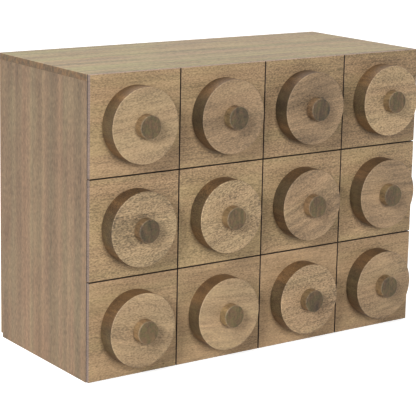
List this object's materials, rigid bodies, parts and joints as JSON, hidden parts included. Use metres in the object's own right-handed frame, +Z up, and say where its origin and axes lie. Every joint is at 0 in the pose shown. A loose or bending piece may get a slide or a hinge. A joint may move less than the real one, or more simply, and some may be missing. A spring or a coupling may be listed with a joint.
{
  "type": "table-top drawer chest",
  "caption": "Wooden table-top chest with a grid of small drawers, each with a round wooden disc and a turned peg knob on its front, for craft supplies and small parts.",
  "frame": {"origin": "on the floor, under the middle of the overall width and of the overall depth, knobs included", "axes": "+X to the right when facing the drawers, +Y to the back, so the drawers open towards -Y, +Z up"},
  "size_m": [0.4, 0.2018, 0.294],
  "materials": {
    "oak_case": "grey-brown stain, matt",
    "oak_dividers": "sanded, matt",
    "oak_fronts": "grey-brown stain, matt",
    "oak_boxes": "sanded, matt",
    "oak_discs": "grey-brown stain, matt",
    "oak_knobs": "darker stain, matt",
    "plywood_back": "sanded, matt",
    "beech_dowels": "raw",
    "steel_screws": "zinc plated"
  },
  "bodies": {
    "case": {"top_board": "oak_case", "bottom_board": "oak_case", "left_side": "oak_case", "right_side": "oak_case", "shelf_1": "oak_dividers", "shelf_2": "oak_dividers", "upright_1": "oak_dividers", "upright_2": "oak_dividers", "upright_3": "oak_dividers", "back_panel": "plywood_back", "back_screws": "steel_screws", "corner_dowels": "beech_dowels"},
    "drawer_bottom_1": {"drawer_front_bottom_1": "oak_fronts", "drawer_box_bottom_1": "oak_boxes", "drawer_disc_bottom_1": "oak_discs", "drawer_knob_bottom_1": "oak_knobs"},
    "drawer_bottom_2": {"drawer_front_bottom_2": "oak_fronts", "drawer_box_bottom_2": "oak_boxes", "drawer_disc_bottom_2": "oak_discs", "drawer_knob_bottom_2": "oak_knobs"},
    "drawer_bottom_3": {"drawer_front_bottom_3": "oak_fronts", "drawer_box_bottom_3": "oak_boxes", "drawer_disc_bottom_3": "oak_discs", "drawer_knob_bottom_3": "oak_knobs"},
    "drawer_bottom_4": {"drawer_front_bottom_4": "oak_fronts", "drawer_box_bottom_4": "oak_boxes", "drawer_disc_bottom_4": "oak_discs", "drawer_knob_bottom_4": "oak_knobs"},
    "drawer_middle_1": {"drawer_front_middle_1": "oak_fronts", "drawer_box_middle_1": "oak_boxes", "drawer_disc_middle_1": "oak_discs", "drawer_knob_middle_1": "oak_knobs"},
    "drawer_middle_2": {"drawer_front_middle_2": "oak_fronts", "drawer_box_middle_2": "oak_boxes", "drawer_disc_middle_2": "oak_discs", "drawer_knob_middle_2": "oak_knobs"},
    "drawer_middle_3": {"drawer_front_middle_3": "oak_fronts", "drawer_box_middle_3": "oak_boxes", "drawer_disc_middle_3": "oak_discs", "drawer_knob_middle_3": "oak_knobs"},
    "drawer_middle_4": {"drawer_front_middle_4": "oak_fronts", "drawer_box_middle_4": "oak_boxes", "drawer_disc_middle_4": "oak_discs", "drawer_knob_middle_4": "oak_knobs"},
    "drawer_top_1": {"drawer_front_top_1": "oak_fronts", "drawer_box_top_1": "oak_boxes", "drawer_disc_top_1": "oak_discs", "drawer_knob_top_1": "oak_knobs"},
    "drawer_top_2": {"drawer_front_top_2": "oak_fronts", "drawer_box_top_2": "oak_boxes", "drawer_disc_top_2": "oak_discs", "drawer_knob_top_2": "oak_knobs"},
    "drawer_top_3": {"drawer_front_top_3": "oak_fronts", "drawer_box_top_3": "oak_boxes", "drawer_disc_top_3": "oak_discs", "drawer_knob_top_3": "oak_knobs"},
    "drawer_top_4": {"drawer_front_top_4": "oak_fronts", "drawer_box_top_4": "oak_boxes", "drawer_disc_top_4": "oak_discs", "drawer_knob_top_4": "oak_knobs"}
  },
  "joints": [
    {"name": "slide_bottom_1", "type": "slide", "parent": "case", "child": "drawer_bottom_1", "axis": [0, -1, 0], "range_m": [0, 0.13]},
    {"name": "slide_bottom_2", "type": "slide", "parent": "case", "child": "drawer_bottom_2", "axis": [0, -1, 0], "range_m": [0, 0.13]},
    {"name": "slide_bottom_3", "type": "slide", "parent": "case", "child": "drawer_bottom_3", "axis": [0, -1, 0], "range_m": [0, 0.13]},
    {"name": "slide_bottom_4", "type": "slide", "parent": "case", "child": "drawer_bottom_4", "axis": [0, -1, 0], "range_m": [0, 0.13]},
    {"name": "slide_middle_1", "type": "slide", "parent": "case", "child": "drawer_middle_1", "axis": [0, -1, 0], "range_m": [0, 0.13]},
    {"name": "slide_middle_2", "type": "slide", "parent": "case", "child": "drawer_middle_2", "axis": [0, -1, 0], "range_m": [0, 0.13]},
    {"name": "slide_middle_3", "type": "slide", "parent": "case", "child": "drawer_middle_3", "axis": [0, -1, 0], "range_m": [0, 0.13]},
    {"name": "slide_middle_4", "type": "slide", "parent": "case", "child": "drawer_middle_4", "axis": [0, -1, 0], "range_m": [0, 0.13]},
    {"name": "slide_top_1", "type": "slide", "parent": "case", "child": "drawer_top_1", "axis": [0, -1, 0], "range_m": [0, 0.13]},
    {"name": "slide_top_2", "type": "slide", "parent": "case", "child": "drawer_top_2", "axis": [0, -1, 0], "range_m": [0, 0.13]},
    {"name": "slide_top_3", "type": "slide", "parent": "case", "child": "drawer_top_3", "axis": [0, -1, 0], "range_m": [0, 0.13]},
    {"name": "slide_top_4", "type": "slide", "parent": "case", "child": "drawer_top_4", "axis": [0, -1, 0], "range_m": [0, 0.13]}
  ]
}
